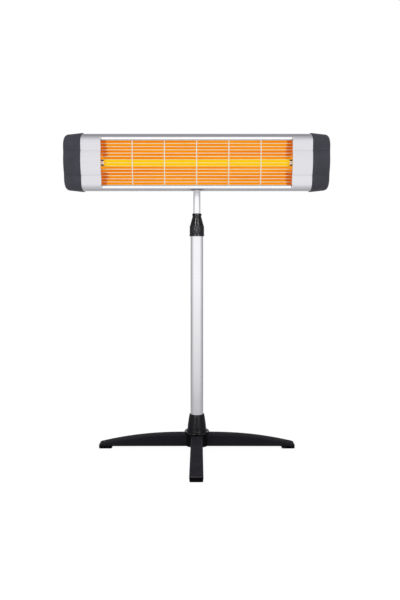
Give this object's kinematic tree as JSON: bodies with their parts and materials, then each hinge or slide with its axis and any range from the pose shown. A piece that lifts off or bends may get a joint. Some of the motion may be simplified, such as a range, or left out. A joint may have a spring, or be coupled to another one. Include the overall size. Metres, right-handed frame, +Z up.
{
  "type": "infrared heater",
  "caption": "Free-standing infrared heater: long tilting head with wire guard and lamp, on a telescopic pole with a cross-shaped foot.",
  "frame": {"origin": "on the floor under the pole, at the centre of the cross-shaped foot", "axes": "+Z up, -Y towards the front that radiates heat, X along the head; right and left are as seen from the front"},
  "size_m": [0.838, 0.652, 1.0349],
  "materials": {
    "housing_aluminium": "satin anodised",
    "tube_aluminium": "satin anodised",
    "cap_plastic": "satin moulded",
    "black_plastic": "satin moulded",
    "collet_plastic": "moulded",
    "rubber": "matte",
    "plated_steel": "zinc plated",
    "reflector_gold": "bright anodised, lit by the lamp",
    "guard_wire": "bright coated wire",
    "lamp_glass": "glowing quartz",
    "filament": "glowing",
    "ceramic": "matte ceramic"
  },
  "bodies": {
    "stand": {"hub_body": "black_plastic", "hub_bottom_cover": "black_plastic", "cover_screw_1": "plated_steel", "cover_screw_2": "plated_steel", "cover_screw_3": "plated_steel", "cover_screw_4": "plated_steel", "leg_front": "black_plastic", "leg_rear": "black_plastic", "leg_left": "black_plastic", "leg_right": "black_plastic", "foot_pad_front": "rubber", "foot_pad_rear": "rubber", "foot_pad_left": "rubber", "foot_pad_right": "rubber", "outer_tube": "tube_aluminium", "pole_end_plug": "black_plastic", "pole_bolt": "plated_steel", "lock_bush": "black_plastic"},
    "collar": {"twist_collar": "black_plastic"},
    "collet": {"split_collet": "collet_plastic"},
    "mast": {"inner_tube": "tube_aluminium", "tube_guide": "black_plastic", "tilt_socket": "black_plastic"},
    "head": {"friction_washer_right": "rubber", "friction_washer_left": "rubber", "housing_profile": "housing_aluminium", "front_panel_right": "housing_aluminium", "front_panel_left": "housing_aluminium", "end_cap_right": "cap_plastic", "end_cap_left": "cap_plastic", "cap_screw_right_upper": "plated_steel", "cap_screw_right_lower": "plated_steel", "cap_screw_left_upper": "plated_steel", "cap_screw_left_lower": "plated_steel", "reflector": "reflector_gold", "reflector_end_right": "reflector_gold", "reflector_end_left": "reflector_gold", "quartz_tube": "lamp_glass", "heating_filament": "filament", "lamp_end_right": "ceramic", "lamp_end_left": "ceramic", "lamp_holder_right": "plated_steel", "lamp_holder_left": "plated_steel", "guard_grille": "guard_wire", "power_switch": "black_plastic", "terminal_block": "ceramic", "tip_over_switch": "black_plastic", "cable_gland": "rubber", "tilt_bracket": "plated_steel", "bracket_bolt_right": "plated_steel", "bracket_bolt_left": "plated_steel", "bracket_nut_right": "plated_steel", "bracket_nut_left": "plated_steel", "tilt_bolt": "plated_steel"},
    "knob": {"tilt_knob": "black_plastic"},
    "dial": {"power_dial": "black_plastic"}
  },
  "joints": [
    {"name": "collar_twist", "type": "hinge", "parent": "stand", "child": "collar", "pos_m": [0, 0, 0.74], "axis": [0, 0, 1], "range_deg": [0, 120]},
    {"name": "mast_swivel", "type": "hinge", "parent": "stand", "child": "collet", "pos_m": [0, 0, 0.74], "axis": [0, 0, 1], "range_deg": [-180, 180]},
    {"name": "height_slide", "type": "slide", "parent": "collet", "child": "mast", "axis": [0, 0, 1], "range_m": [-0.05, 0.35]},
    {"name": "head_tilt", "type": "hinge", "parent": "mast", "child": "head", "pos_m": [0, 0, 0.898], "axis": [1, 0, 0], "range_deg": [-30, 30]},
    {"name": "knob_turn", "type": "hinge", "parent": "head", "child": "knob", "pos_m": [0, 0, 0.898], "axis": [1, 0, 0], "range_deg": [0, 360]},
    {"name": "dial_turn", "type": "hinge", "parent": "head", "child": "dial", "pos_m": [0.413, -0.0903, 0.94], "axis": [1, 0, 0], "range_deg": [0, 180]}
  ]
}
